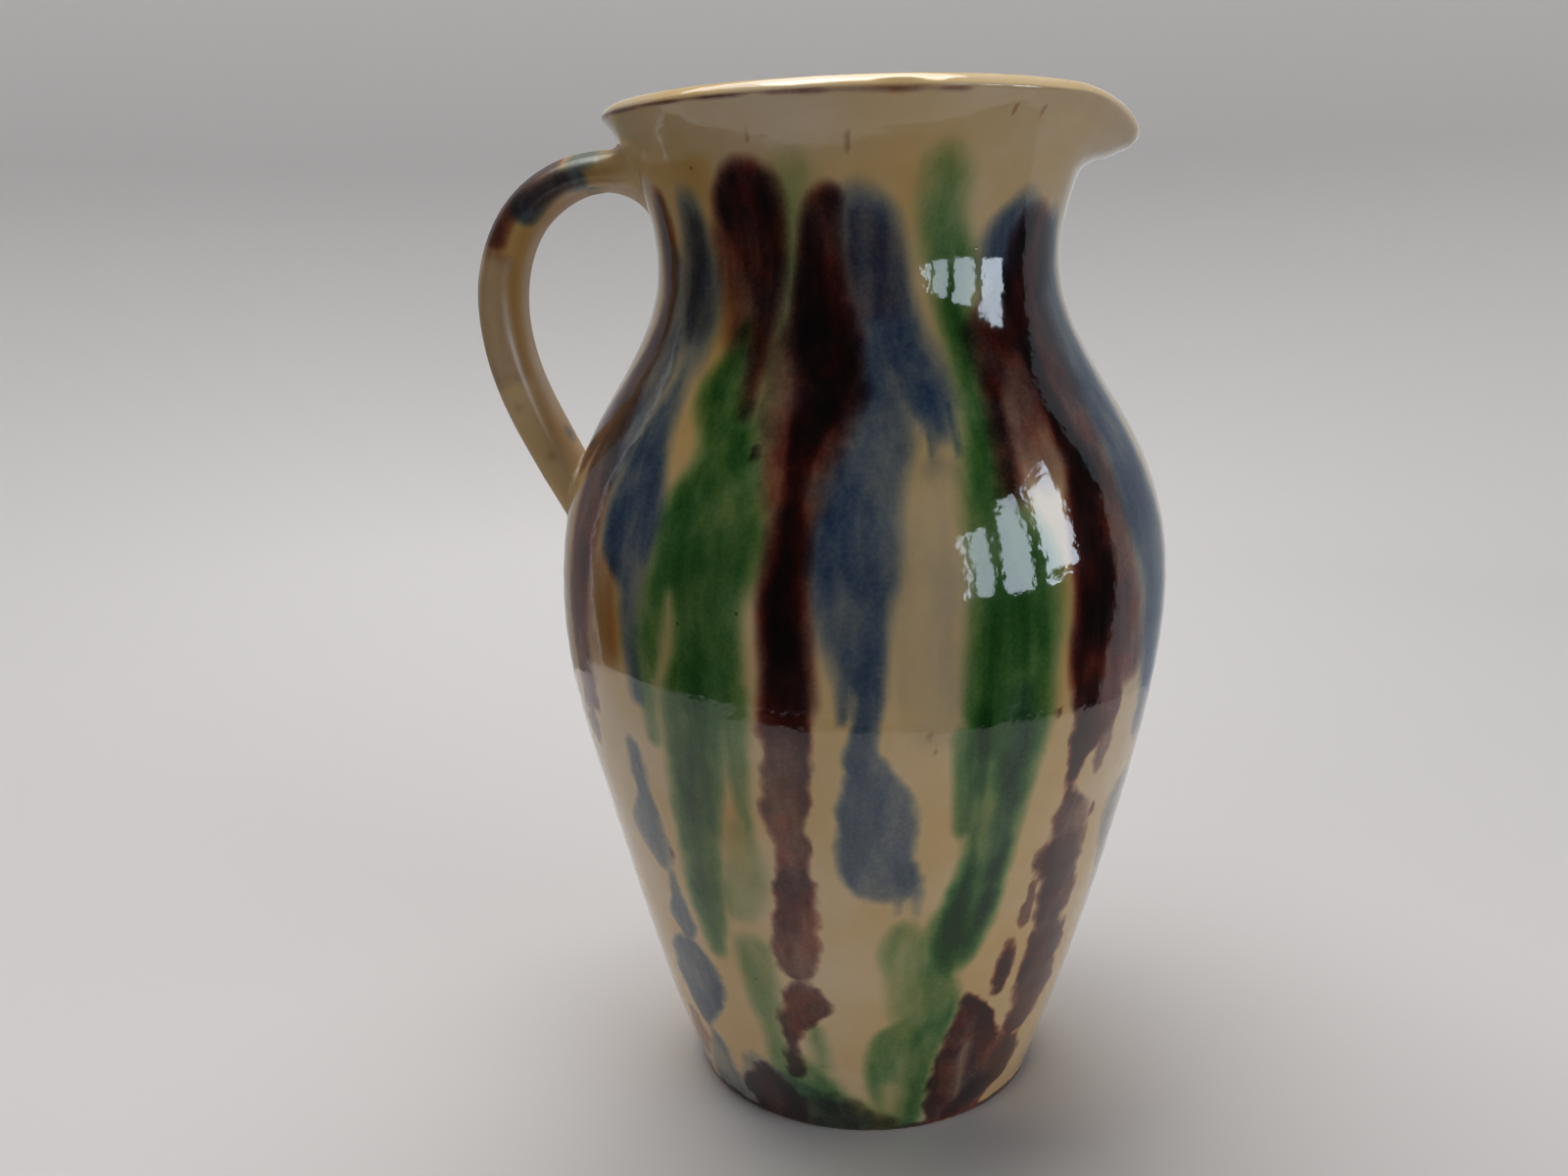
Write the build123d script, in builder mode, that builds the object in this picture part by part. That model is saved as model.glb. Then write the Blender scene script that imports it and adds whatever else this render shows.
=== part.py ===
"""Glazed earthenware pitcher: a wheel-thrown body with a pulled pouring lip, and a pulled strap
handle luted on at the neck and at the shoulder.

Millimetres, +Z up. The origin is the centre of the flat foot. The lip points along +X and the
handle along -X, so the pitcher is symmetric about the XZ plane.
"""

from build123d import *
from math import cos, pi, radians, sin
import os

os.makedirs("parts", exist_ok=True)

# ---- Driving dimensions -------------------------------------------------------------------

height = 300.0          # foot to rim
foot_round = 2.0        # rounding at the edge of the foot
floor_thickness = 9.0   # clay at the bottom
wall = 5.5              # clay in the belly and shoulder
neck_wall = 5.0         # clay in the neck and rim

# The thrown outline, as (radius, height), from above the foot to the narrowest place of the neck.
thrown_outline = [
    (55.5, 4.0),
    (61.3, 21.0),
    (71.3, 54.0),
    (82.4, 99.0),
    (90.9, 144.0),
    (91.7, 165.0),
    (88.7, 186.0),
    (80.5, 207.0),
    (68.0, 228.0),
    (60.2, 246.0),
    (59.0, 258.0),
]
foot_radius = 55.0
neck_radius, neck_height = thrown_outline[-1]

# The flared neck, as (radius, height, how far the lip is drawn out there).
flare = [
    (60.2, 268.0, 0.0),
    (62.6, 276.5, 0.8),
    (65.3, 283.5, 5.5),
    (68.2, 289.0, 11.3),
    (73.2, 296.0, 7.0),
]
arris_radius, arris_height, arris_draw = flare[-1]
rim_radius = 70.0       # outer edge of the flat top of the rim
lip_half_angle = 34.0   # the lip is drawn out this many degrees each side of +X
lip_dip = 8.5           # how far the tip of the lip hangs below the rim
lip_dip_half = 38.0     # half the width of the dip, seen along X

# The handle's centre line, as (x, z), with the strap's width and thickness there.
handle_stations = [
    ((-58.0, 283.5), 29.0, 11.0),
    ((-76.0, 282.6), 28.0, 11.2),
    ((-89.0, 278.6), 26.5, 11.8),
    ((-100.0, 268.4), 25.0, 13.0),
    ((-106.6, 250.5), 24.0, 14.2),
    ((-105.6, 231.0), 23.5, 14.4),
    ((-99.4, 212.5), 23.0, 14.4),
    ((-91.0, 195.5), 23.0, 14.0),
    ((-81.0, 176.0), 22.0, 12.0),
]
lute_spread = 7.0       # how far the lute reaches round the strap, on the body
lute_feather = 0.5      # thickness of the lute where it ends on the strap


# ---- Outlines -----------------------------------------------------------------------------

def draw(angle):
    """How much of the full draw the lip has at an angle from +X, in degrees: 1 at the tip."""
    angle = (angle + 180) % 360 - 180
    if abs(angle) >= lip_half_angle:
        return 0.0
    return cos(pi / 2 * angle / lip_half_angle) ** 2


def drawn_ring(radius, out):
    """Points of a circle of this radius with the lip drawn out by so much at +X."""
    near_lip = [step * lip_half_angle / 5 for step in range(-5, 6)]
    round_back = [lip_half_angle + (360 - 2 * lip_half_angle) * step / 14 for step in range(1, 14)]
    ring = []
    for angle in near_lip[5:] + round_back + near_lip[:5]:
        r = radius + out * draw(angle)
        ring.append((r * cos(radians(angle)), r * sin(radians(angle))))
    return ring


def dip_points():
    """The rim's level across the lip, as (y, z): a smooth dip of lip_dip, level at both ends."""
    steps = [step / 4 for step in range(-4, 5)]
    return [(lip_dip_half * t, height - lip_dip * cos(pi / 2 * t) ** 2) for t in steps]


def inner_outline():
    """The hollow's outline, from above the floor to the neck: the wall's thickness inside."""
    points = []
    for radius, level in thrown_outline[1:]:
        thickness = neck_wall if level > 240 else wall
        points.append((radius - thickness, level))
    return points


# ---- Thrown body --------------------------------------------------------------------------

with BuildPart() as outer_form:
    with BuildSketch(Plane.XZ) as outer_half:
        with BuildLine() as outer_edge:
            base = Line((0, 0), (foot_radius - foot_round, 0))
            turn = RadiusArc(base @ 1, (foot_radius, foot_round), -foot_round)
            side = Line(turn @ 1, thrown_outline[0])
            swell = Spline(*thrown_outline, tangents=[(0.25, 1), (0, 1)])
            Polyline(swell @ 1, (0, neck_height), (0, 0))
        make_face()
    revolve(axis=Axis.Z)
    with BuildSketch(Plane.XY.offset(neck_height)):
        Circle(neck_radius)
    for radius, level, out in flare:
        with BuildSketch(Plane.XY.offset(level)):
            with BuildLine():
                Spline(*drawn_ring(radius, out), periodic=True)
            make_face()
    loft()
    with BuildSketch(Plane.XY.offset(arris_height)):
        with BuildLine():
            Spline(*drawn_ring(arris_radius, arris_draw), periodic=True)
        make_face()
    with BuildSketch(Plane.XY.offset(height)):
        with BuildLine():
            Spline(*drawn_ring(rim_radius, arris_draw), periodic=True)
        make_face()
    loft(ruled=True)

with BuildPart() as hollow:
    with BuildSketch(Plane.XZ) as hollow_half:
        with BuildLine() as hollow_edge:
            inside = inner_outline()
            bottom = Line((0, floor_thickness), (inside[0][0] - 12, floor_thickness))
            rise = Spline(bottom @ 1, *inside, tangents=[(1, 0), (0, 1)])
            Polyline(rise @ 1, (0, neck_height), (0, floor_thickness))
        make_face()
    revolve(axis=Axis.Z)
    with BuildSketch(Plane.XY.offset(neck_height)):
        Circle(neck_radius - neck_wall)
    for radius, level, out in flare[:-1]:
        with BuildSketch(Plane.XY.offset(level)):
            with BuildLine():
                Spline(*drawn_ring(radius - neck_wall, out), periodic=True)
            make_face()
    with BuildSketch(Plane.XY.offset(height + 1)):
        with BuildLine():
            Spline(*drawn_ring(rim_radius - 3.5, arris_draw), periodic=True)
        make_face()
    loft()

with BuildPart() as thrown_body:
    add(outer_form.part)
    add(hollow.part, mode=Mode.SUBTRACT)
    with BuildSketch(Plane.YZ.offset(neck_radius / 2)):
        with BuildLine():
            dip = Spline(*dip_points(), tangents=[(1, 0), (1, 0)])
            Polyline(dip @ 1, (lip_dip_half, height + lip_dip), (-lip_dip_half, height + lip_dip), dip @ 0)
        make_face()
    extrude(amount=neck_radius, mode=Mode.SUBTRACT)

thrown_body.part.label = "thrown_body"
export_step(thrown_body.part, "parts/thrown_body.step")


# ---- Handle -------------------------------------------------------------------------------

centre_points = [Vector(x, 0, z) for (x, z), _, _ in handle_stations]
centre_line = Edge.make_spline(centre_points)


def strap_section(index, extra=0.0):
    """The ellipse across the strap at one station, larger all round by extra."""
    _, width, thickness = handle_stations[index]
    centre = centre_points[index]
    along = centre_line.tangent_at(centre_line.param_at_point(centre))
    with BuildSketch(Plane(origin=centre, x_dir=(0, 1, 0), z_dir=along)) as section:
        Ellipse(width / 2 + extra, thickness / 2 + extra)
    return section.sketch


with BuildPart() as handle:
    for station in range(len(handle_stations)):
        add(strap_section(station))
    loft()
    add(outer_form.part, mode=Mode.SUBTRACT)

handle.part.label = "handle"
export_step(handle.part, "parts/handle.step")


# ---- Lutes --------------------------------------------------------------------------------

with BuildPart() as upper_lute:
    add(strap_section(0, lute_spread))
    add(strap_section(1, lute_feather))
    loft()
    add(outer_form.part, mode=Mode.SUBTRACT)
    add(handle.part, mode=Mode.SUBTRACT)

upper_lute.part.label = "upper_lute"
export_step(upper_lute.part, "parts/upper_lute.step")

with BuildPart() as lower_lute:
    add(strap_section(8, lute_spread))
    add(strap_section(7, lute_feather))
    loft()
    add(outer_form.part, mode=Mode.SUBTRACT)
    add(handle.part, mode=Mode.SUBTRACT)

lower_lute.part.label = "lower_lute"
export_step(lower_lute.part, "parts/lower_lute.step")
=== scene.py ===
"""The looks of the glazed pitcher: a thrown body with a pulled lip, a pulled strap handle and its
two luted joints, under a glossy lead glaze streaked with brown, green and blue oxides.

The pitcher's own lengths are millimetres in the frame's axes, and become metres in make_piece().
The stage, the lights and the camera are in metres. Azimuths are degrees round the pot from the
front, -Y, towards the lip at +X.
"""

import math

import bpy
import numpy as np
from mathutils import Matrix, Vector


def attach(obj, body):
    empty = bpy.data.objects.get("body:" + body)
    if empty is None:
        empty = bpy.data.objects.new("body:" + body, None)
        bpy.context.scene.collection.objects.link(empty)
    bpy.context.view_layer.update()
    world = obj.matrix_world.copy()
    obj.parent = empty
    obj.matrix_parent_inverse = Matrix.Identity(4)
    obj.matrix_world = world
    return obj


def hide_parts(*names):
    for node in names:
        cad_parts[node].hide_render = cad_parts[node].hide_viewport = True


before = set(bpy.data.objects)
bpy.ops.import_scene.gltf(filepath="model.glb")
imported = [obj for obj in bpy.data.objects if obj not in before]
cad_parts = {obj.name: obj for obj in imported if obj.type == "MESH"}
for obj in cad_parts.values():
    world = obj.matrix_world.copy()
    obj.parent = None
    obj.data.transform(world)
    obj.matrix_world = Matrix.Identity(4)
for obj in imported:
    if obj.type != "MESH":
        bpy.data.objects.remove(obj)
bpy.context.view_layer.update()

MM = 0.001

# ---- The thrown shape, as in the CAD part ----

FOOT_RADIUS = 55.0
FLOOR = 9.0
THROWN = [  # (radius, height) of the outside, from above the foot to below the rim
    (55.5, 4), (61.3, 21), (71.3, 54), (82.4, 99), (90.9, 144), (91.7, 165),
    (88.7, 186), (80.5, 207), (68, 228), (60.2, 246), (59, 258), (60.2, 268),
    (62.6, 276.5), (65.6, 284), (69.6, 291.5),
]
RIM = [  # (radius, height) from the flare over the sharp arris and the rolled top to the inside
    (69.6, 291.5), (71.2, 293.8), (72.7, 295.6), (73.3, 296.3), (73.5, 296.8), (73.3, 297.3),
    (72.8, 298.1), (72.1, 298.9), (71.2, 299.5), (70.2, 299.85), (69.2, 300), (68.2, 299.8),
    (67.4, 299.3), (66.8, 298.6), (66.3, 297.6), (65.6, 295.6), (64.9, 293.4),
]
NECK_WALL, BELLY_WALL = 5.0, 5.5
MEAN_RADIUS = 85.0

LIP_AZIMUTH = 90.0
LIP_HALF_ANGLE = 38.0   # the lip is pulled out this many degrees each side of +X
LIP_BEND = 36.0         # degrees that the wall is bent outwards at the tip
LIP_HINGE = (61.6, 279.5)
LIP_START, LIP_FULL = 274.0, 289.0
LIP_THRIFT = 0.07       # how much shorter the wall is there, as a share of its reach past the hinge
LIP_BLUNTNESS = 1.2     # mm that the arris is worn back at the tip of the lip

HANDLE = [  # (x, z), width, thickness of the strap, from inside the neck to inside the shoulder
    ((-58, 283.5), 29, 11), ((-76, 282.6), 28, 11.2), ((-89, 278.6), 26.5, 11.8),
    ((-100, 268.4), 25, 13), ((-106.6, 250.5), 24, 14.2), ((-105.6, 231), 23.5, 14.4),
    ((-99.4, 212.5), 23, 14.4), ((-91, 195.5), 23, 14), ((-81, 176), 22, 12),
]


# ---- Maths ----

def smooth(x):
    """0 below 0, 1 above 1 and an S curve between."""
    t = np.clip(x, 0.0, 1.0)
    return t * t * (3.0 - 2.0 * t)


def wrapped(azimuth, middle):
    """Degrees from the middle, from -180 to 180."""
    return (azimuth - middle + 180) % 360 - 180


def curve_through(knots, values, x):
    """The natural cubic through (knots, values), at x."""
    k, v = np.asarray(knots, float), np.asarray(values, float)
    h = np.diff(k)
    slope = np.diff(v) / h
    n = len(k)
    a, b = np.eye(n), np.zeros(n)
    for i in range(1, n - 1):
        a[i, i - 1:i + 2] = h[i - 1], 2 * (h[i - 1] + h[i]), h[i]
        b[i] = 6 * (slope[i] - slope[i - 1])
    m = np.linalg.solve(a, b)
    i = np.clip(np.searchsorted(k, x) - 1, 0, n - 2)
    t = x - k[i]
    c1 = slope[i] - h[i] * (2 * m[i] + m[i + 1]) / 6
    return v[i] + t * (c1 + t * (m[i] / 2 + t * (m[i + 1] - m[i]) / (6 * h[i])))


def hermite(q, start, leave, end, arrive):
    """A cubic from start to end that sets off along leave and comes in along arrive, at q from 0 to 1."""
    return ((2 * q ** 3 - 3 * q ** 2 + 1) * start + (q ** 3 - 2 * q ** 2 + q) * leave
            + (-2 * q ** 3 + 3 * q ** 2) * end + (q ** 3 - q ** 2) * arrive)


def round_corner(a, b, radius):
    """The depth inside two edges at once, where their corner is rounded off."""
    corner = radius - np.hypot(np.maximum(radius - a, 0), np.maximum(radius - b, 0))
    return np.where((a < radius) & (b < radius), corner, np.minimum(a, b))


def waves(seed, count, longest, shortest):
    """Random waves that close round the pot: (turns, rise, phase, weight) of each."""
    rng = np.random.default_rng(seed)
    rows = []
    for _ in range(count):
        length = longest * (shortest / longest) ** rng.random()
        heading = rng.random() * math.pi
        turns = round(math.cos(heading) * 2 * math.pi * MEAN_RADIUS / length)
        rise = math.sin(heading) * 2 * math.pi / length
        rows.append((turns, rise, rng.random() * 2 * math.pi, length / longest))
    return rows


def sum_waves(rows, turn, level):
    """The waves added up at an azimuth in radians and a height, about -1 to 1."""
    total = sum(w * np.sin(t * turn + k * level + p) for t, k, p, w in rows)
    return total / math.sqrt(sum(w * w for *_, w in rows))


LUMPS = waves(3, 14, 160.0, 50.0)          # the hand's slow unevenness
DIMPLES = waves(8, 40, 34.0, 9.0)          # small waviness that shows only in reflections
STROKE_SWAY = waves(21, 12, 60.0, 22.0)    # how the painted strokes wander
LUMP_SIZE, DIMPLE_SIZE = 0.30, 0.028
RING_SIZE, RING_PITCH = 0.035, 8.6         # the throwing rings outside
INNER_RING_SIZE, INNER_RING_PITCH = 0.35, 11.0


def thrown_radius(level):
    """The radius of the thrown outline at a height in mm."""
    return curve_through([z for _, z in THROWN], [r for r, _ in THROWN], level)


def outer_radius(turn, level):
    """The outside's radius at an azimuth in radians and a height, without the lip."""
    calm = smooth((level - 3.0) / 14.0) * smooth((296.0 - level) / 20.0)
    rings = RING_SIZE * np.sin(2 * math.pi * level / RING_PITCH + turn) * smooth((level - 20) / 30)
    bumps = LUMP_SIZE * sum_waves(LUMPS, turn, level) + DIMPLE_SIZE * sum_waves(DIMPLES, turn, level)
    return thrown_radius(level) + calm * (bumps + rings)


def lip_pull(azimuth):
    """How far the lip is pulled at an azimuth in degrees: 1 at the tip, 0 away from it."""
    off = np.abs(wrapped(azimuth, LIP_AZIMUTH))
    return np.where(off < LIP_HALF_ANGLE, np.cos(math.pi / 2 * off / LIP_HALF_ANGLE) ** 2, 0.0)


def bend_lip(azimuth, radius, level):
    """Bends the wall outwards and down about the hinge where the lip was pulled."""
    bent = lip_pull(azimuth) * smooth((level - LIP_START) / (LIP_FULL - LIP_START))
    angle = math.radians(LIP_BEND) * bent
    dr = (radius - LIP_HINGE[0]) * (1 - LIP_THRIFT * bent)
    dz = (level - LIP_HINGE[1]) * (1 - LIP_THRIFT * bent)
    c, s = np.cos(angle), np.sin(angle)
    return LIP_HINGE[0] + c * dr + s * dz, LIP_HINGE[1] - s * dr + c * dz


# ---- Pigment strokes ----
# Each is a pigment, a strength, a softness and nodes of (height, left azimuth, right azimuth). The
# softness is how many mm the edge takes from full to none, and a wipe takes pigment away.

FRONT = [
    # brown left of the middle
    ("brown", 2.4, 7, (280, -33, -21), (276, -36.5, -19.5), (270, -38, -19), (264, -38, -19),
     (258, -34.5, -19), (252, -31, -19.5), (245, -28, -20.3), (236, -26.5, -21), (228, -25.5, -21.6),
     (220, -24.5, -22.5)),
    ("brown", 0.9, 10, (266, -41, -30), (252, -38, -27), (243, -35, -25), (236, -32, -26)),
    # brown down the middle
    ("brown", 2.6, 6, (273.5, -11, -4.6), (268, -12.8, -4), (260, -14, -3.4), (252, -15, -2.6),
     (244, -16.2, -1.6)),
    ("brown", 3.4, 8, (256, -12, -4), (248, -14.5, -2.5), (240, -16, -0.8), (232, -16.4, 0),
     (224, -15.8, -1.2), (216, -14.5, -4), (208, -14.3, -7), (200, -14.4, -8.6), (190, -14.5, -9.4),
     (176, -15, -9.4), (162, -15.4, -8.8), (148, -16.2, -8.2), (136, -16.4, -8.2)),
    ("brown", 0.75, 10, (238, -19, -14), (230, -19.5, -14), (218, -18.6, -13), (208, -17, -12),
     (198, -15.6, -12)),
    ("brown", 1.0, 9, (226, -5, 1), (216, -6, -2), (208, -8, -4.6), (198, -9, -7)),
    ("brown", 1.25, 4, (160, -16, -8.4), (148, -16.4, -8.2), (138, -16.6, -8.2), (128, -17, -8.8),
     (116, -17.2, -9.6), (110, -17.2, -9.8), (106, -16, -9.8), (102, -15.2, -9.8), (98, -16.4, -9.8),
     (93, -18, -9.6), (86, -17.6, -9.5), (80, -18.8, -9.2), (73, -19.2, -8.8), (67, -19, -8.2),
     (63, -18, -8.6), (61, -16, -11)),
    ("brown", 1.4, 4, (59, -16, -12.4), (55.5, -19, -8.6), (50, -20, -7.4), (46, -20.6, -9.4),
     (43, -21, -15), (36, -20.6, -16.6), (28, -20.6, -17), (22, -20.4, -17.4)),
    # brown at the left
    ("brown", 1.9, 7, (274, -64, -60), (266, -66.5, -58.5), (254, -65.5, -57.5), (244, -65, -58),
     (234, -67, -58), (224, -71, -60), (212, -76, -64), (200, -80, -70)),
    ("brown", 1.3, 8, (222, -66, -57), (206, -66, -55), (188, -66, -54), (170, -65, -54.5),
     (154, -64.5, -55.5), (140, -64, -57), (122, -65, -61)),
    # brown at the right, down to its drops and base
    ("brown", 2.2, 8, (267.5, 46, 58.5), (262, 44, 61), (254, 42, 62), (247, 36, 58), (242, 27, 50),
     (236, 26, 47), (230, 27, 38), (222, 27, 32), (214, 26.4, 30.4), (206, 25.6, 30), (198, 25, 28.6)),
    ("brown", 1.0, 10, (238, 30, 42), (230, 30, 41), (218, 30, 40), (208, 31, 38.5), (202, 33, 38)),
    ("brown", 1.5, 9, (246, 44, 58), (232, 43, 57), (218, 43, 54), (206, 44, 53)),
    ("brown", 3.2, 7, (244, 39, 47), (230, 39.5, 48), (216, 40.5, 48), (204, 40.5, 50), (194, 38.8, 49),
     (182, 38, 48.5), (170, 37.6, 48.5), (158, 37.4, 48), (147, 38, 48), (136, 38.4, 49)),
    ("brown", 1.1, 7, (210, 47, 52), (194, 48, 53), (178, 48, 54), (164, 47, 56.5), (152, 46, 58),
     (144, 47, 58)),
    ("brown", 1.7, 4, (160, 38, 52), (150, 37.8, 52), (142, 38, 51.6), (134, 38.2, 52), (129, 39, 51),
     (126, 39.4, 44.6), (120, 40.4, 43.4), (112, 40.4, 42.2)),
    ("brown", 0.8, 5, (131, 45, 51.5), (125, 46, 50.5), (118, 47.4, 49.6)),
    ("brown", 1.1, 6, (113, 40, 45), (109, 38.6, 48.6), (104, 38.4, 49.8), (99, 37, 50)),
    ("brown", 2.0, 6, (100, 36.8, 50), (94, 36.4, 50.6), (90, 37.2, 51), (86, 39.2, 51), (79, 39.6, 51.2),
     (73, 39.8, 51.6), (66, 41.4, 49)),
    ("brown", 1.8, 6, (72, 41, 49), (66, 39.2, 52), (58, 38.5, 53.8), (50, 39.4, 54.2), (43, 39.6, 55),
     (37, 40, 51.6), (30, 38.6, 49)),
    ("brown", 1.2, 2, (87, 35.2, 37.4), (84, 35, 37.6), (81.6, 35.4, 37.2)),
    ("brown", 1.3, 2, (80, 34.4, 36.8), (76.5, 33.8, 37.2), (72.6, 34.2, 36.4)),
    ("brown", 1.4, 3, (69, 32.4, 35.4), (65, 31.7, 36.2), (59, 31, 36), (54, 30.9, 35.4), (50, 31.4, 34.4)),
    ("brown", 1.9, 4, (53, 23.8, 25), (49.5, 23, 26.8), (47.6, 22.8, 30), (44.5, 22.2, 32.6),
     (39, 21.4, 34.4), (34, 20.6, 37.4), (29, 19.6, 38.6), (24, 18.6, 38), (14, 18.4, 36), (2, 18, 36)),
    ("brown", 1.6, 5, (30, 34, 44), (25, 31, 48), (19, 30, 50), (13, 28, 47), (6, 26, 41), (1, 25, 38)),
    # brown round the base; the brown and green washes after it darken the front of the foot, partly glaze
    # colour and partly painted shade
    ("brown", 1.9, 6, (21, -31, -26), (17, -36, -22), (11, -38.5, -18.5), (4, -37, -15), (1, -36, -14)),
    # painted shade mixed with glaze: these two washes darken the front of the foot
    ("brown", 0.6, 8, (13, -18, -3), (7, -20, 7), (1, -22, 14)),
    ("green", 0.6, 8, (14, -20, -2), (8, -22, 6), (1, -24, 12)),
    # marks on the neck
    ("brown", 0.7, 1.0, (286, -2.6, -1.9), (284, -2.9, -2.1), (283, -2.8, -2.2)),
    ("brown", 0.6, 1.0, (292.4, 33.4, 34.2), (292, 33.7, 34.5)),
    ("brown", 0.6, 1.0, (292.3, 42, 42.7), (291.8, 42.3, 43)),
    ("brown", 0.3, 1.0, (287.4, -24.4, -23.8), (287.2, -24.4, -23.8)),
    # single specks and blots
    ("brown", 1.0, 1.5, (211, -20.2, -18.9), (208.5, -20.4, -18.2)),
    ("brown", 0.45, 1.0, (139, 11.0, 11.5), (134.5, 11.8, 12.3)),
    ("brown", 0.9, 1.0, (141.0, 33.8, 34.6), (140.0, 33.8, 34.7)),
    ("brown", 1.3, 1.5, (105.6, 50, 51.8), (103, 50.2, 52.2)),
    ("brown", 0.7, 1.0, (94.0, -42.4, -41.4), (92.8, -42.5, -41.5)),
    # brown at the far left
    ("brown", 0.8, 5, (30, -58, -54), (24, -60, -51), (18, -61, -52), (12, -64, -55)),
    # green at the left
    ("green", 1.15, 6, (240, -28, -26.4), (234, -31, -24.6), (229, -34.6, -24.4), (223, -36.6, -22.6),
     (216, -33, -20.4), (210, -30.4, -18.6), (205, -31.6, -17.6), (198, -36, -17), (190, -37, -16.6),
     (182, -36.8, -17.2), (174, -38.6, -19.2), (164, -40, -20.2), (154, -40.6, -20.2), (148, -36, -20.4),
     (140, -35.8, -22), (128, -36, -24), (116, -36.2, -25.8), (106, -36.8, -28), (96, -38, -28.8),
     (86, -38.2, -29.8), (77, -38, -30.8), (70, -37.2, -31.8), (64, -35.6, -33.4)),
    ("green", 1.4, 8, (174, -31, -22), (160, -31, -22), (146, -33, -25), (136, -34, -26)),
    ("green", 2.9, 6, (150, -33, -25), (134, -34, -27), (118, -35, -29), (100, -36, -31), (84, -36.6, -32)),
    ("green", 0.8, 5, (158, -41, -37.4), (148, -41.2, -37), (140, -40.6, -37.8), (132, -40, -38.4)),
    ("green", 0.62, 4, (152, -23.6, -19.2), (140, -23.6, -19), (128, -23, -19.4), (116, -22.4, -19.8),
     (107, -21.4, -20)),
    ("green", 0.55, 9, (279, -19, -13), (268, -19, -14), (258, -20, -15), (244, -21, -16.6),
     (230, -21.8, -17.6), (214, -21, -18)),
    ("green", 0.25, 6, (110, -24, -21), (102, -25, -19.4), (94, -27.6, -19), (86, -28.8, -20),
     (79, -28.8, -22)),
    ("green", 0.45, 5, (72.5, -28.4, -20), (66, -28.6, -19.6), (56, -28.4, -20), (48, -27.8, -20.4),
     (40, -26.4, -20.4), (32, -25.6, -20), (26, -26, -14), (20, -26, -8)),
    ("green", 0.95, 8, (30, -23, -17), (24, -24, -10), (17, -24, -7), (10, -22, -3), (2, -20, 2)),
    ("green", 0.5, 6, (42, -13.4, -11), (34, -13.4, -9.6), (26, -13, -8.6)),
    # green at the right
    ("green", 0.8, 7, (282, 17.5, 24.5), (277, 16, 25.4), (270, 15.4, 25.6), (264, 17, 27), (257, 18, 31),
     (250, 19, 30)),
    ("green", 1.3, 7, (258, 19, 30), (246, 20, 28), (238, 21, 27.2), (228, 21.6, 26.8), (216, 20.6, 26),
     (206, 19.8, 25.6), (198, 19.2, 27), (190, 18.6, 31), (178, 18.4, 33.6), (166, 18.6, 33.6),
     (154, 18, 32.8), (144, 18, 32.6), (134, 17.8, 31.8), (124, 18.2, 30.8), (112, 19.4, 29.4),
     (102, 19.8, 28.6), (94, 18.8, 28), (87, 16.4, 27.2), (81, 14.2, 26.2), (74, 13, 25.2), (68, 13.6, 23.6),
     (62.5, 16.6, 20.6)),
    ("green", 3.0, 6, (146, 18, 23), (132, 18.4, 23), (118, 19, 23), (104, 19.6, 24), (90, 18, 25),
     (78, 15.4, 24.6), (67, 15, 23.6)),
    ("green", 2.0, 6, (88, 16.6, 22.4), (80, 14.6, 22.2), (72, 14, 22.4), (65, 15.4, 21.6)),
    ("green", 0.5, 4, (139, 15.2, 18.4), (130, 15.2, 19), (120, 15.8, 19.6), (110, 16.8, 20)),
    ("green", 0.42, 5, (80.5, 6, 10), (76, 4.4, 12.4), (69, 4, 14), (61, 4.6, 14.6), (54, 4.8, 14),
     (47, 4.8, 13)),
    ("green", 0.6, 4, (67, 12.4, 15), (62, 11.8, 20.4), (55, 11.6, 22.4), (49, 11, 22.6), (44, 4.5, 21.4),
     (38, 1.4, 20.8), (30, 0.8, 19.4), (22, 0.8, 18), (16, 2, 17.6), (8, 4, 17.4), (1, 6, 17.4)),
    ("green", 1.9, 8, (48, 13, 21), (38, 6, 19.4), (28, 6, 18.6), (20, 9.4, 17.4), (10, 10.6, 17),
     (2, 10.6, 17)),
    # blue down the middle, with its forked tips
    ("blue", 2.0, 7, (273.5, -3.8, 5), (270, -4.4, 7.6), (263, -4, 9.6), (256, -3.4, 11), (248, -1, 12),
     (240, 1.6, 14), (232, 4, 17.2), (225, 7.6, 19.2), (220, 10, 19.4), (217, 13, 17.4), (214, 14.4, 16.4)),
    ("blue", 1.6, 2, (220, 13, 14.6), (214, 13.2, 14.2), (208, 13.4, 13.8)),
    ("blue", 1.6, 2, (221, 17.2, 19), (215, 17.8, 18.8), (210, 18.2, 18.6)),
    ("blue", 0.2, 10, (205, 12, 16), (190, 9.5, 17), (170, 8, 17), (150, 8, 17), (138, 9, 16)),
    ("brown", 0.5, 8, (268, -2, 5), (260, -2, 9), (252, -1, 10), (244, 1, 10)),
    ("blue", 1.6, 9, (246, -1, 6), (232, -1, 8), (218, -2, 9.2), (208, -5, 8.6), (198, -8, 7.8)),
    ("blue", 1.75, 6, (214, -1, 9), (206, -3, 8.6), (200, -6.6, 7.4), (190, -8, 7), (180, -7.6, 5.8),
     (172, -6.8, 4.4), (162, -5, 3.4), (152, -3.8, 2.8)),
    ("blue", 1.35, 3, (156, -4.2, -1.8), (148, -4, -2), (144, -3.6, -2.4)),
    ("blue", 1.45, 3, (156, -1.2, 3.2), (148, -0.8, 3.4), (140, -1.6, 2.8), (133, -3, 3.4), (129.5, -2, 4.4),
     (122, -2, 6)),
    ("blue", 1.25, 4, (136, -1.6, 3.2), (131, -1.4, 4), (127, -3, 7), (121, -4.6, 8.6), (113, -5, 9.8),
     (106, -4.4, 9.8), (102, -3.8, 9.2), (98, -4.2, 11), (94, -3.8, 11.4), (90.4, -2.6, 10)),
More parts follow.
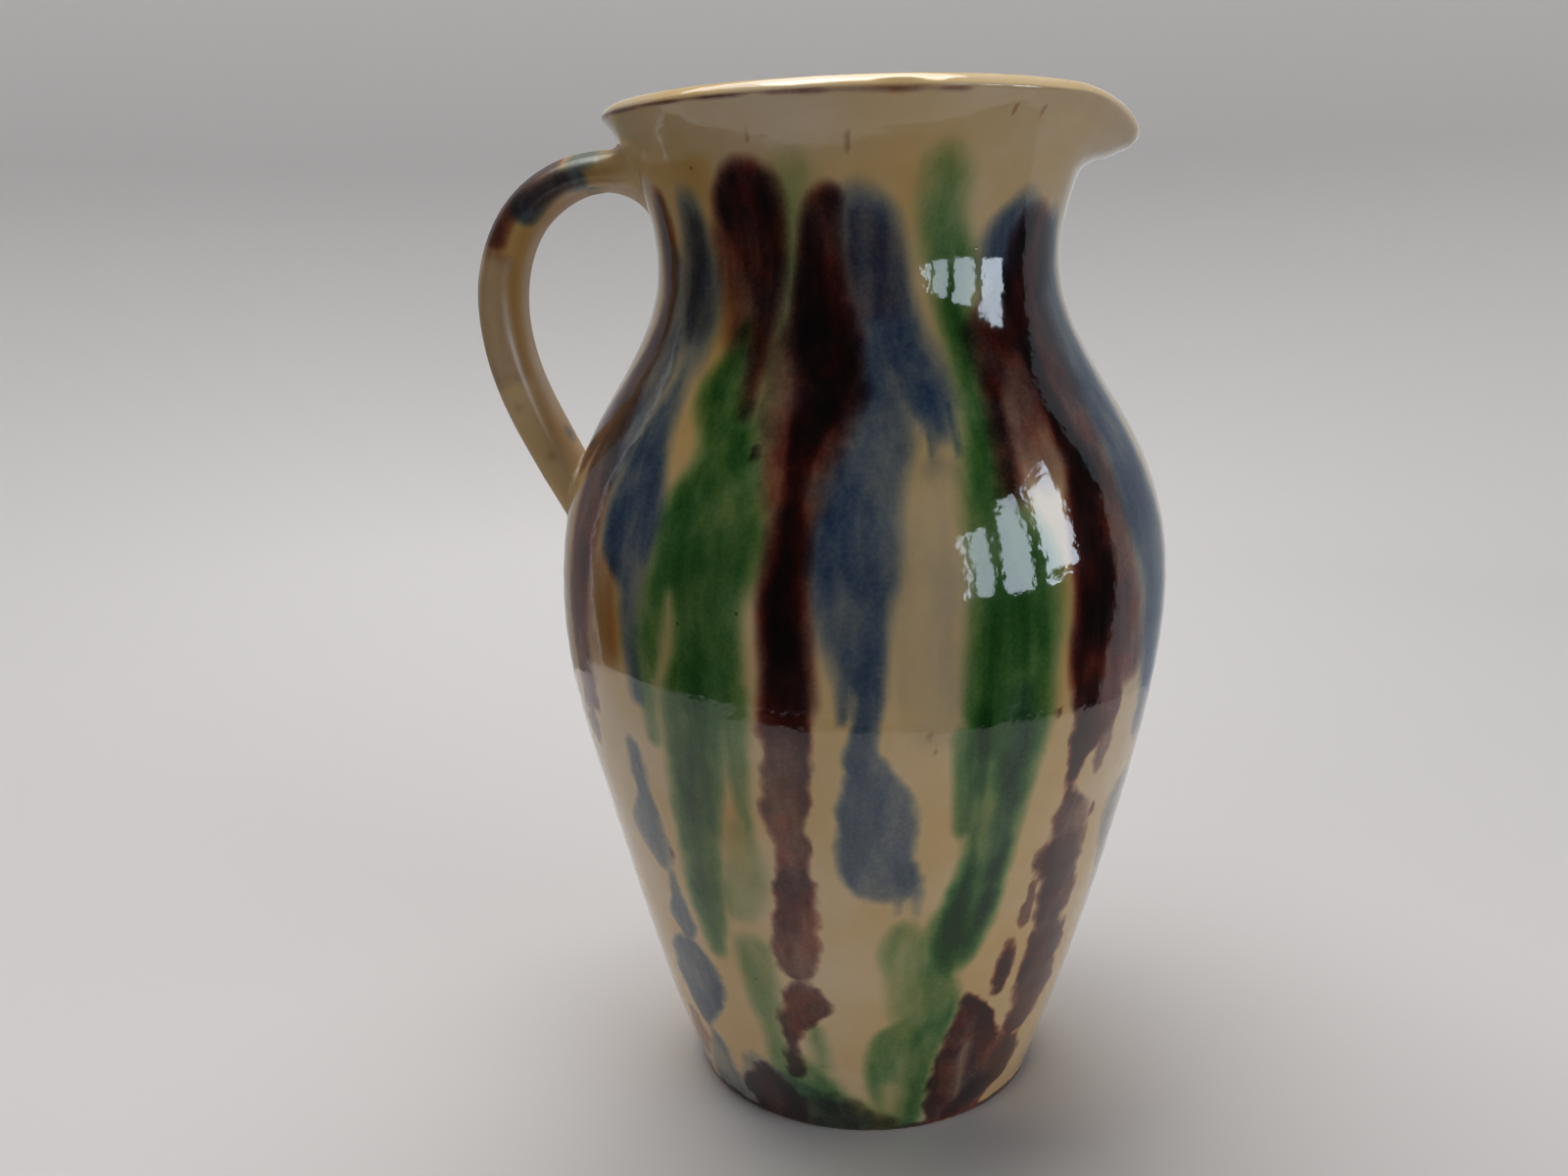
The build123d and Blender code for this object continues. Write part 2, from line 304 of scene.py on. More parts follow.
    ("blue", 0.55, 3.5, (93, 8.8, 11.4), (88, 9.2, 11.4), (84.5, 9.8, 11)),
    ("blue", 0.55, 3.5, (93, 5.2, 7.2), (89, 5.6, 7), (85.5, 6, 6.6)),
    # blue at the left
    ("blue", 1.15, 7, (273.5, -50.4, -44.8), (268, -52, -43.6), (258, -53.6, -41), (249, -53, -38.6),
     (241, -51, -38), (235, -48, -39), (226, -45, -40.6)),
    ("brown", 0.5, 8, (268, -50, -45), (256, -51, -43), (246, -50, -41), (238, -47, -41)),
    ("green", 0.15, 8, (268, -50, -45), (256, -52, -42), (246, -51, -40), (238, -47, -41)),
    ("brown", 0.3, 6, (180, -54, -46), (166, -55, -45), (150, -54, -46)),
    ("blue", 1.3, 7, (258, -58, -54), (248, -60, -52), (234, -60, -47), (220, -60, -47), (208, -60, -49.5),
     (198, -59, -51)),
    ("blue", 1.6, 6, (228, -45, -40.8), (219, -47.6, -41), (212, -50, -39.6), (202, -51.6, -38),
     (192, -52, -37), (184, -51.4, -38), (178.5, -50, -39), (174, -44, -39), (164, -43.8, -39.6),
     (154, -43.8, -40.6), (143, -43.2, -41.4)),
    ("blue", 0.95, 4, (128, -47.4, -45.4), (124, -48.6, -44), (116, -48.8, -43.4), (112, -47.4, -44.2),
     (108, -50, -43.6), (102, -53.6, -42.8), (96, -54.2, -42.6), (90, -50, -42.8), (87.6, -47, -44)),
    ("blue", 0.95, 3, (86.5, -44.6, -42.6), (80, -45.4, -42), (75, -47, -41.4), (70, -50, -40),
     (66.5, -48.6, -40), (65, -46, -42)),
    ("blue", 1.5, 4, (62.6, -49, -41), (60, -52, -38), (55, -54, -36), (50, -54.4, -35.4), (45, -53.6, -36),
     (40.5, -52, -38.4), (37, -52.4, -42.6), (33, -51, -44), (30.5, -49, -46)),
    ("blue", 1.0, 5, (26.5, -47, -44), (23, -48.6, -41.8), (19, -50, -42), (14, -54, -42), (8, -57, -41),
     (1, -60, -40)),
    # blue at the right and round the base
    ("blue", 1.4, 7, (271.5, 42, 51), (269, 38, 54), (263, 34.4, 52), (257, 33, 46), (250, 32.6, 43),
     (244, 33, 40)),
    ("blue", 1.9, 8, (266, 58, 65), (252, 56, 67), (238, 54.6, 68.5), (224, 54, 69), (208, 53.6, 69),
     (192, 53.4, 69.5), (176, 55.6, 69.5), (160, 58, 70), (144, 60, 70), (122, 62, 70)),
    ("blue", 0.7, 6, (109, 61, 69), (102, 57.6, 75), (94, 58.6, 78), (84, 62, 78), (72, 66, 78),
     (60, 70, 78)),
    ("blue", 0.8, 5, (150, 25, 29), (134, 24.6, 29), (116, 24.4, 28.6), (100, 24, 27.6), (86, 23.4, 26.6),
     (76, 22.8, 25)),
    ("blue", 1.2, 6, (32, 25, 31), (22, 25, 32), (14, 26, 40), (6, 27, 42)),
    ("blue", 0.6, 6, (25, -34, -30), (17, -38, -14), (8, -42, 0), (1, -46, 6)),
    # streaks wiped pale
    ("wipe", 0.85, 4, (174, -33.6, -31.6), (166, -34.4, -31.2), (156, -35.4, -32), (148, -36.8, -35.2)),
    ("wipe", 0.62, 5, (130, 20.2, 22.6), (118, 20, 23.4), (106, 20.6, 23), (92, 21.4, 23.2), (78, 21.8, 23)),
    ("wipe", 0.8, 5, (20, 5, 9), (14, 4.6, 10), (8, 5.4, 9.6)),
    ("wipe", 0.9, 6, (33, 26.6, 29), (24, 25.4, 30), (16, 25.8, 29.8), (10, 26.6, 29)),
]
UNDER_LIP_AND_HANDLE = [  # between the front and the back
    ("green", 1.2, 7, (264, 88, 92), (256, 83, 95), (240, 84, 94), (220, 85, 93), (196, 83, 94),
     (172, 82, 96), (150, 84, 97), (126, 86, 96), (104, 87, 94), (84, 87, 92), (74, 88.6, 90.4)),
    ("brown", 1.5, 4, (66, 94, 97), (58, 91, 99), (46, 90, 100), (36, 92, 98), (30, 94, 96)),
    ("brown", 2.2, 7, (262, 268, 273), (252, 264, 277), (238, 265, 276), (224, 267, 275), (212, 268, 273)),
    ("green", 1.2, 6, (158, 266, 271), (146, 263, 275), (128, 264, 276), (108, 266, 275), (90, 267, 273),
     (74, 269, 271)),
    ("blue", 1.1, 4, (62, 270, 273), (54, 267, 277), (44, 267, 277), (36, 270, 274)),
]
HONEY = [  # where the glaze lies thick and yellow: (height, azimuth, half height, half width, amount)
    (213, -37, 9, 4.5, 0.15), (240, -34, 14, 5, 0.9), (205, 14, 14, 5, 0.15), (120, -32, 40, 4, 0.7),
    (168, 35.5, 24, 2, 0.7), (164, -48, 14, 4.5, 1.4), (112, -24, 12, 3, 0.8), (284, -55, 9, 14, 0.55),
    (268, 12, 14, 4, 0.4), (276, -42, 12, 5, 0.6),
]
UNDER_RIM, UNDER_RIM_HONEY = (277, -8, 8, 20), 0.30   # one more spot, which the back doesn't have
TIDE_LEVEL = 284.5    # above this height, in mm, the glaze drained thin under the rim
BACK = 180.0          # the front's strokes come again this many degrees round,
BACK_SQUASH = 0.96    # a little shorter


def all_strokes():
    """The strokes of the front, the few between, and those of the front again round the back."""
    strokes = FRONT + UNDER_LIP_AND_HANDLE
    for number, (pigment, strength, softness, *nodes) in enumerate(FRONT):
        lift = 3.0 * math.sin(2.4 * number)
        drift = BACK + 1.5 * math.sin(1.7 * number + 1)
        turned = [(z * BACK_SQUASH + 9 * (z > 150) + lift * (z > 24), left + drift, right + drift)
                  for z, left, right in nodes]
        strokes.append((pigment, strength, softness, *turned))
    return strokes


PIGMENTS = ("brown", "green", "blue")
ROUNDING = (-3.0, -1.5, 0.0, 1.5, 3.0)   # mm up and down that a stroke's edges are averaged over
CAP_RADIUS = 6.0                         # mm, how round a stroke's ends are
SWAY = 0.35                              # degrees that strokes wander
SPREAD = {"brown": 1.15, "green": 1.7, "blue": 1.4, "wipe": 1.3}   # how far each bled into the glaze


class Paint:
    """The cover and strength of each pigment at some points, gathered stroke by stroke.

    Where strokes overlap, each counts for more in the strength the deeper inside it a point lies.
    """

    def __init__(self, count):
        self.cover = np.zeros((count, 3))
        self.weight = np.full((count, 3), 1e-9)
        self.total = np.zeros((count, 3))

    def lay(self, pigment, strength, inside, edge):
        """Adds a stroke, from how many mm inside it the points lie and how wide its edge is."""
        k = PIGMENTS.index(pigment)
        self.cover[:, k] = np.maximum(self.cover[:, k], np.clip(0.5 + inside / edge, 0, 1))
        pull = np.exp(np.clip(inside, -20, 8) * 0.5)
        self.weight[:, k] += pull
        self.total[:, k] += pull * strength

    def strength(self):
        return self.total / self.weight


def along_stroke(level, heights, values):
    """A stroke's edge at each height, with the corners at its nodes rounded off."""
    return sum(np.interp(level + d, heights, values) for d in ROUNDING) / len(ROUNDING)


def paint(azimuth, level, radius):
    """Cover and strength of each pigment at points of the outside: two (n, 3) arrays."""
    laid = Paint(len(azimuth))
    wipe = np.zeros(len(azimuth))
    mm_per_degree = math.pi / 180 * radius
    swayed = azimuth + SWAY * sum_waves(STROKE_SWAY, np.radians(azimuth), level)
    for pigment, strength, softness, *nodes in all_strokes():
        z, lefts, rights = np.array(nodes, float)[::-1].T
        left, right = along_stroke(level, z, lefts), along_stroke(level, z, rights)
        half = (right - left) / 2
        across = (half - np.abs(wrapped(swayed, (left + right) / 2))) * mm_per_degree
        within = np.minimum(level - z[0], z[-1] - level)
        inside = round_corner(across, within + 1.0, np.minimum(CAP_RADIUS, half * mm_per_degree))
        edge = softness * SPREAD[pigment]
        if pigment == "wipe":
            wipe = np.maximum(wipe, strength * smooth(0.5 + inside / edge))
        else:
            laid.lay(pigment, strength, inside, edge)
    return laid.cover, laid.strength() * (1 - wipe[:, None])


def soft_spot(azimuth, level, spot):
    """1 in the middle of a spot and fading away round it."""
    z, middle, half_height, half_width = spot
    return np.exp(-(((level - z) / half_height) ** 2 + (wrapped(azimuth, middle) / half_width) ** 2))


def honey_at(azimuth, level):
    """How thick and yellow the glaze lies, about 0 to 1."""
    turn = np.radians(azimuth)
    total = 0.10 + 0.10 * sum_waves(LUMPS[::-1], turn, level * 0.7)
    for *spot, amount in HONEY:
        total = total + amount * (soft_spot(azimuth, level, spot) + soft_spot(azimuth - BACK, level, spot))
    total = total + UNDER_RIM_HONEY * soft_spot(azimuth, level, UNDER_RIM)
    tide = TIDE_LEVEL + 1.6 * np.sin(turn * 3 + 0.5) + 0.9 * np.sin(turn * 8)
    return np.clip(total * (1 - smooth(0.5 + (level - tide) / 2.4)), 0, 1.2)


# ---- Meshes ----

def add_mesh(name, points, faces):
    """A smooth-shaded mesh object, from points in metres."""
    mesh = bpy.data.meshes.new(name)
    mesh.from_pydata([tuple(p) for p in points], [], faces)
    mesh.polygons.foreach_set("use_smooth", [True] * len(mesh.polygons))
    thing = bpy.data.objects.new(name, mesh)
    bpy.context.scene.collection.objects.link(thing)
    return thing


def make_piece(name, points, faces, cover, dose, bare, honey):
    """A piece from points in mm, with its pigment fields as colour attributes."""
    piece = add_mesh(name, points * MM, faces)
    for label, rgb, alpha in (("cover", cover, bare), ("dose", dose, honey)):
        layer = piece.data.color_attributes.new(label, "FLOAT_COLOR", "POINT")
        layer.data.foreach_set("color", np.column_stack([rgb, alpha]).astype(np.float32).ravel())
    return piece


def grid_faces(rows, columns, closed=False):
    """Quads of a grid whose columns go all the way round, and whose rows do too if closed."""
    here = np.arange(rows * columns).reshape(rows, columns)
    beside = np.roll(here, -1, axis=1)
    quads = np.stack([here, beside, np.roll(beside, -1, axis=0), np.roll(here, -1, axis=0)], axis=-1)
    return quads[:rows if closed else rows - 1].reshape(-1, 4).tolist()


def make_capped(name, rings, parts, middles):
    """A skin over rings of points, closed at both ends by triangles round the two middles."""
    count, around = len(rings), len(rings[0])
    points = np.vstack(rings + [[middle] for middle in middles])
    fields = [np.concatenate([p[i] for p in parts] + [parts[0][i][:1], parts[-1][i][:1]]) for i in range(4)]
    faces = grid_faces(count, around)
    start, stop, last = count * around, count * around + 1, (count - 1) * around
    for j in range(around):
        k = (j + 1) % around
        faces.append((start, k, j))
        faces.append((stop, last + j, last + k))
    return make_piece(name, points, faces, *fields)


COLUMNS = 360
FOOT_RINGS, FLOOR_RINGS = (8, 20, 32, 42, 49), (34, 24, 14, 6)   # radii of rings across them
FOOT_EDGE = [(-2.2, 0.0), (-1.1, 0.25), (-0.3, 0.9), (0.05, 1.9), (0.25, 2.9)]   # past its radius, height
OUTSIDE_ROWS, OUTSIDE_TOP = 174, 290.0
INSIDE_ROWS, INSIDE_TOP, INSIDE_FOOT = 42, 289.0, 24.0
FLOOR_BEND = 14.0     # how far in from the wall the floor's curve reaches
ARRIS = 296.8         # height of the rim's sharp edge
CHIP_AZIMUTH, CHIP_HALF, CHIP_LEVEL, CHIP_DEPTH = 8.0, 5.0, 296.6, 1.5
RIM_HONEY = -0.45     # on the rim the glaze ran thin and lets the white slip through
RIM_LINE = 296.2      # height of the thin brown line under the arris
SLIP_LEVEL = 296.6    # height where the slip starts to show


def body_profile():
    """The whole section as rows of (kind, radius, height), from the foot's middle to the floor's."""
    rows = [("foot", r, 0.0) for r in FOOT_RINGS]
    rows += [("foot", FOOT_RADIUS + past, z) for past, z in FOOT_EDGE]
    rows += [("outside", 0.0, z) for z in np.linspace(THROWN[0][1], OUTSIDE_TOP, OUTSIDE_ROWS)]
    for (r0, z0), (r1, z1) in zip(RIM[:-1], RIM[1:]):
        rows += [("rim", r0, z0), ("rim", (r0 + r1) / 2, (z0 + z1) / 2)]
    rows.append(("rim", *RIM[-1]))
    rows += [("inside", 0.0, z) for z in np.linspace(INSIDE_TOP, INSIDE_FOOT, INSIDE_ROWS)]
    inner = float(thrown_radius(INSIDE_FOOT)) - BELLY_WALL
    for t in np.linspace(0.12, 1.0, 9) * math.pi / 2:
        drop = (INSIDE_FOOT - FLOOR) * math.sin(t)
        rows.append(("floor", inner - FLOOR_BEND * (1 - math.cos(t)), INSIDE_FOOT - drop))
    rows += [("floor", r, FLOOR) for r in FLOOR_RINGS]
    return rows


def rim_radii(azimuth, level, radius):
    """A ring of the rim: a little uneven, with the chip, and blunt at the tip of the lip."""
    turn = np.radians(azimuth)
    uneven = 0.22 * np.sin(3 * turn + 1.0) + 0.14 * np.sin(7 * turn)
    jag = 0.75 + 0.25 * np.sin(azimuth * 2.9) + 0.15 * np.sin(azimuth * 5.3)
    notch = np.clip(1 - np.abs(azimuth - CHIP_AZIMUTH) / CHIP_HALF, 0, 1) * jag
    chip = CHIP_DEPTH * notch * np.exp(-((level - CHIP_LEVEL) / 1.7) ** 2)
    blunt = LIP_BLUNTNESS * lip_pull(azimuth) * np.exp(-((level - ARRIS) / 1.3) ** 2)
    return radius + uneven - (chip + blunt) * (radius > 70)


def body_points(rows):
    """Every row's ring of points, with its azimuths, heights and radii before the lip is pulled."""
    azimuth = np.arange(COLUMNS) * 360.0 / COLUMNS
    turn = np.radians(azimuth)
    points, fields = [], []
    for kind, radius, level in rows:
        levels = np.full(COLUMNS, float(level))
        radii = np.full(COLUMNS, float(radius))
        if kind == "outside":
            radii = outer_radius(turn, levels)
        elif kind == "inside":
            wall = BELLY_WALL + (NECK_WALL - BELLY_WALL) * smooth((level - 220) / 40)
            rings = INNER_RING_SIZE * np.sin(2 * math.pi * level / INNER_RING_PITCH + turn)
            radii = thrown_radius(levels) - wall + rings
        elif kind == "rim":
            radii = rim_radii(azimuth, level, radius)
            levels = levels + 0.25 * np.sin(2 * turn + 0.4)
        r, z = bend_lip(azimuth, radii, levels)
        points.append(np.column_stack([r * np.sin(turn), -r * np.cos(turn), z]))
        fields.append((kind, azimuth, levels, radii))
    return points, fields


def outside_fields(azimuth, level, radius):
    """The outside with its pigment strokes and bare clay, and round the foot a dark brown band that is
    partly pooled glaze and partly painted contact shade.
    """
    turn = np.radians(azimuth)
    cover, dose = paint(azimuth, np.maximum(level, 2.0), np.maximum(radius, 50.0))
    edge = 0.6 + 0.35 * np.sin(5 * turn) + 0.25 * np.sin(13 * turn + 2) + 0.2 * np.sin(31 * turn)
    # painted shade: the brown band round the bottom 4 mm stands partly for a pool of glaze and partly for
    # the contact shadow where the pot meets the table
    pooled_glaze_and_shade = smooth((4.0 - level) / 3.0)
    cover[:, 0] = np.maximum(cover[:, 0], pooled_glaze_and_shade)
    dose[:, 0] = np.maximum(dose[:, 0], 0.7 * pooled_glaze_and_shade)
    return cover, dose, smooth(0.5 + (edge - level) / 0.8), honey_at(azimuth, level)


def rim_fields(azimuth, level, radius):
    """The rim: white slip on top and a thin broken brown line under the arris."""
    turn = np.radians(azimuth)
    cover, dose = paint(azimuth, level, radius)
    near_chip = np.exp(-((azimuth - CHIP_AZIMUTH) / CHIP_HALF) ** 4)
    line = np.exp(-((level - RIM_LINE) / (0.55 + 0.2 * near_chip)) ** 2) * (radius > 71.5)
    patchy = 0.8 * np.sin(2.0 * turn + 2.6) + 0.4 * np.sin(5.0 * turn + 1.0) + 0.4 * np.sin(23 * turn)
    line = line * np.clip(smooth(0.35 + patchy) + 0.6 * near_chip, 0, 1) * 0.75
    dose[:, 0] = np.where(line > cover[:, 0], 0.85, dose[:, 0])
    cover[:, 0] = np.maximum(cover[:, 0], line)
    honey = honey_at(azimuth, level)
    honey = honey + (RIM_HONEY - honey) * smooth((level - SLIP_LEVEL) / 1.4)
    return cover, dose, np.zeros(len(azimuth)), honey


def inside_fields(azimuth, level, _radius):
    """The inside: honey glaze, thicker towards the floor, with thin brown runs."""
    cover, dose = np.zeros((len(azimuth), 3)), np.zeros((len(azimuth), 3))
    runs = sum_waves(STROKE_SWAY, np.radians(azimuth) * 3, level * 0.2)
    cover[:, 0] = smooth(0.4 + 0.5 * runs) * smooth((275 - level) / 90)
    dose[:, 0] = 0.35
    return cover, dose, np.zeros(len(azimuth)), 0.3 + 0.6 * smooth((60 - level) / 60)


FIELDS_OF = {
    "foot": outside_fields, "outside": outside_fields, "rim": rim_fields,
    "inside": inside_fields, "floor": inside_fields,
}


def make_body():
    """The thrown body: outside, rim, inside and foot as one closed skin."""
    rings, fields = body_points(body_profile())
    parts = [FIELDS_OF[kind](*where) for kind, *where in fields]
    return make_capped("pitcher_body", rings, parts, ((0, 0, 0), (0, 0, FLOOR)))


# ---- Handle and joints ----

AROUND = 72                  # points round the strap
ANGLES = np.arange(AROUND) * 2 * math.pi / AROUND
STRAP_KNOTS = np.linspace(0, 1, len(HANDLE))
STRAP_STATIONS = np.linspace(0.035, 0.975, 190)
STRAP_STEP = 1e-3            # how far either way along the strap its direction is taken
SQUARENESS = 0.86            # 1 is an ellipse, and less has flatter faces
GROOVE_DEPTH, GROOVE_PITCH = 0.55, 0.52   # mm, and a share of the strap's width


def strap_middle(t):
    """The middle of the strap, (x, z), at t from 0 to 1 along it."""
    return np.array([curve_through(STRAP_KNOTS, [h[0][i] for h in HANDLE], t) for i in (0, 1)])


def handle_at(t):
    """Centre, outward normal, width and thickness of the strap at t, from 0 to 1."""
    along = strap_middle(min(t + STRAP_STEP, 1)) - strap_middle(max(t - STRAP_STEP, 0))
    along = along / np.linalg.norm(along)
    width = np.interp(t, STRAP_KNOTS, [h[1] for h in HANDLE])
    thick = np.interp(t, STRAP_KNOTS, [h[2] for h in HANDLE])
    return strap_middle(t), np.array([along[1], -along[0]]), width, thick


def strap_ring(t):
    """Points round the strap at t: a soft-cornered section with two finger grooves outside."""
    centre, out, width, thick = handle_at(t)
    c, s = np.cos(ANGLES), np.sin(ANGLES)
    u = np.sign(c) * np.abs(c) ** SQUARENESS * (width / 2)
    v = np.sign(s) * np.abs(s) ** SQUARENESS * (thick / 2)
    on_outer_face = smooth(s * 1.4) * smooth(1.4 - np.abs(u) / (width / 2) * 1.2)
    groove = GROOVE_DEPTH * np.cos(2 * math.pi * u / (width * GROOVE_PITCH)) * on_outer_face
    wander = 0.16 * np.sin(9.0 * t + 3 * ANGLES) + 0.10 * np.sin(23.0 * t + 2 * ANGLES + 1)
    v = v + groove + wander
    return np.column_stack([centre[0] + out[0] * v, u, centre[1] + out[1] * v])


HANDLE_SOFTNESS, HANDLE_CAP_RADIUS = 6.0, 4.0
HANDLE_LENGTH, HANDLE_GIRTH = 190.0, 62.0   # mm along the strap and round it, to measure strokes by
HANDLE_STROKES = [  # pigment, strength, from t, to t, middle angle round the strap, half angle
    ("brown", 1.7, 0.20, 0.385, 124, 50),
    ("brown", 1.7, 0.33, 0.435, 134, 48),
    ("blue", 1.5, 0.14, 0.36, 190, 34),
    ("brown", 0.9, 0.18, 0.33, 186, 26),
    ("green", 0.3, 0.11, 0.18, 130, 36),
    ("blue", 0.8, 0.11, 0.18, 134, 38),
    ("brown", 1, 0.03, 0.055, 96, 40),
    ("blue", 1.2, 0.12, 0.34, 4, 34),
    ("brown", 1.1, 0.24, 0.37, 50, 26),
    ("blue", 0.9, 0.49, 0.56, 98, 24),
    ("blue", 0.12, 0.44, 0.68, 135, 80),
    ("brown", 0.12, 0.44, 0.68, 150, 80),
    ("blue", 0.7, 0.80, 0.835, 262, 12),
    ("brown", 0.5, 0.66, 0.69, 196, 9),
    ("brown", 0.6, 0.72, 0.735, 172, 6),
    ("brown", 0.6, 0.83, 0.85, 186, 7),
]


def handle_fields(t, angle):
    """Pigment cover, strength, bare clay and honey at places along and angles round the strap."""
    laid = Paint(len(angle))
    for pigment, strength, start, stop, middle, half in HANDLE_STROKES:
        frayed = 0.7 * np.sin(t * 40 + middle)
        across = (half - np.abs(wrapped(angle, middle))) / 360 * HANDLE_GIRTH + frayed
        within = np.minimum(t - start, stop - t) * HANDLE_LENGTH
        laid.lay(pigment, strength, round_corner(across, within, HANDLE_CAP_RADIUS), HANDLE_SOFTNESS)
    around = np.radians(angle)
    honey = 1.00 + 0.20 * np.sin(around - 0.6) + 0.12 * np.sin(t * 17 + 2 * around)
    honey = honey - 1.15 * smooth((t - 0.50) / 0.28) - 1.10 * smooth((0.15 - t) / 0.09)
    return laid.cover, laid.strength(), np.zeros(len(angle)), np.clip(honey, -0.15, 1.3)


def make_handle():
    """The pulled strap, closed by caps that lie inside the body's wall."""
    rings = [strap_ring(t) for t in STRAP_STATIONS]
    parts = [handle_fields(np.full(AROUND, t), np.degrees(ANGLES)) for t in STRAP_STATIONS]
    return make_capped("strap_handle", rings, parts, (rings[0].mean(axis=0), rings[-1].mean(axis=0)))


JOINT_STATIONS, JOINT_STEPS = 160, 18
JOINT_ROWS = JOINT_STEPS + 3    # the fillet's, and two that close it inside the wall
JOINT_PULL = 1.25               # how closely the fillet keeps to the strap and the wall at its ends
STRAP_SINK = 0.006              # where it starts, as a share of the way to the strap's middle
WALL_SINK = 0.12                # mm that its edge lies under the wall's surface
EDGE_DEPTH, ROOT_DEPTH, ROOT_DRAW = 1.6, 2.0, 1.5   # mm into the wall, and in from the strap's skin


def unit(vector):
    """The vector made 1 long."""
    return vector / (np.linalg.norm(vector) + 1e-9)


def off_wall(points):
    """How many mm outside the body's wall each point lies."""
    turn = np.arctan2(points[:, 0], -points[:, 1])
    return np.hypot(points[:, 0], points[:, 1]) - outer_radius(turn, points[:, 2])


def onto_wall(point):
    """The place on the wall beside a point, a little under its surface."""
    turn = math.atan2(point[0], -point[1])
    radius = float(outer_radius(np.array([turn]), np.array([point[2]]))[0]) - WALL_SINK
    return np.array([radius * math.sin(turn), -radius * math.cos(turn), point[2]])


def joint_strand(skin, place, start, meet, reach):
    """One strand of a joint: from the strap out onto the wall, then back inside the wall.

    place is its index round the rings of the strap's skin. It leaves ring start, and goes reach mm
    on from ring meet, where the strap meets the wall.
    """
    leaving, foot = skin[start, place], skin[meet, place]
    begin = leaving + (skin[start].mean(axis=0) - leaving) * STRAP_SINK
    along = unit(skin[min(start + 2, len(skin) - 1), place] - leaving)
    normal = np.array([foot[0], foot[1], 0.0]) / np.hypot(foot[0], foot[1])
    away = foot - skin[meet].mean(axis=0)
    away = unit(away - normal * (away @ normal))
    end = onto_wall(foot + away * reach)
    pull = JOINT_PULL * np.linalg.norm(end - begin)
    places = [s / JOINT_STEPS for s in range(JOINT_STEPS + 1)]
    strand = [hermite(q, begin, along * pull, end, away * pull) for q in places]
    return strand + [end - normal * EDGE_DEPTH, foot - normal * ROOT_DEPTH - away * ROOT_DRAW]


def make_joint(name, first, last, back, spread):
    """A lute: a concave fillet from the strap onto the wall, which meet between first and last.

    back is how many rings before that it starts, on the strap's outer and inner face, and spread is
    how many mm it reaches on the wall outside, at the sides and inside.
    """
    stations = np.linspace(first, last, JOINT_STATIONS)
    skin = np.stack([strap_ring(t) for t in stations])
    buried = np.stack([off_wall(ring) <= 0 for ring in skin])
    strands, along_strap = [], []
    for place, outward in enumerate(np.sin(ANGLES)):
        meet = int(np.argmax(buried[:, place]))
        start = max(meet - int(back[0] + (back[1] - back[0]) * (0.5 - 0.5 * outward)), 0)
        face = spread[0] if outward > 0 else spread[2]
        reach = spread[1] + (face - spread[1]) * outward ** 2
        strands.append(joint_strand(skin, place, start, meet, reach))
        along_strap.append(np.interp(np.arange(JOINT_ROWS), (0, JOINT_STEPS), stations[[start, meet]]))
    points = np.array(strands).transpose(1, 0, 2).reshape(-1, 3)
    fields = handle_fields(np.array(along_strap).T.ravel(), np.tile(np.degrees(ANGLES), JOINT_ROWS))
    return make_piece(name, points, grid_faces(JOINT_ROWS, AROUND, closed=True), *fields)


# ---- Materials ----

CREAM = (0.64, 0.47, 0.27)
SLIP = (0.92, 0.64, 0.27)
CLAY_DARK = (0.165, 0.095, 0.054, 1)
CLAY_PALE = (0.375, 0.228, 0.138, 1)
ABSORB = {  # what one measure of each takes from red, green and blue; violet tints the brown
    "brown": (1.25, 2.05, 1.95), "violet": (0.30, -0.14, -0.34), "green": (2.30, 1.12, 1.85),
    "blue": (1.45, 1.05, 0.46), "honey": (0.16, 0.34, 0.95),
}
EDGE_JITTER = {  # how far an edge wanders: in lobes low down, and in drags where the glaze ran
    "brown": (1.25, 0.35), "green": (0.18, 0.30), "blue": (0.7, 0.3),
}
LOBED_TO, DRAGGED_FROM = 0.125, 0.160    # metres above the foot
HALF_EDGE_LOW, HALF_EDGE_HIGH = 0.34, 0.46   # share of a soft edge that pigment takes to fade, each side
SLIP_HONEY = -0.05     # below this honey, down to the rim's, the slip shows more and more
SPECK_DEPTH = 1.3
BARE_ROUGHNESS = 0.68  # how much rougher clay is than glaze
GLAZE_IOR = 1.58
BUMP_HEIGHT = 0.00006  # metres


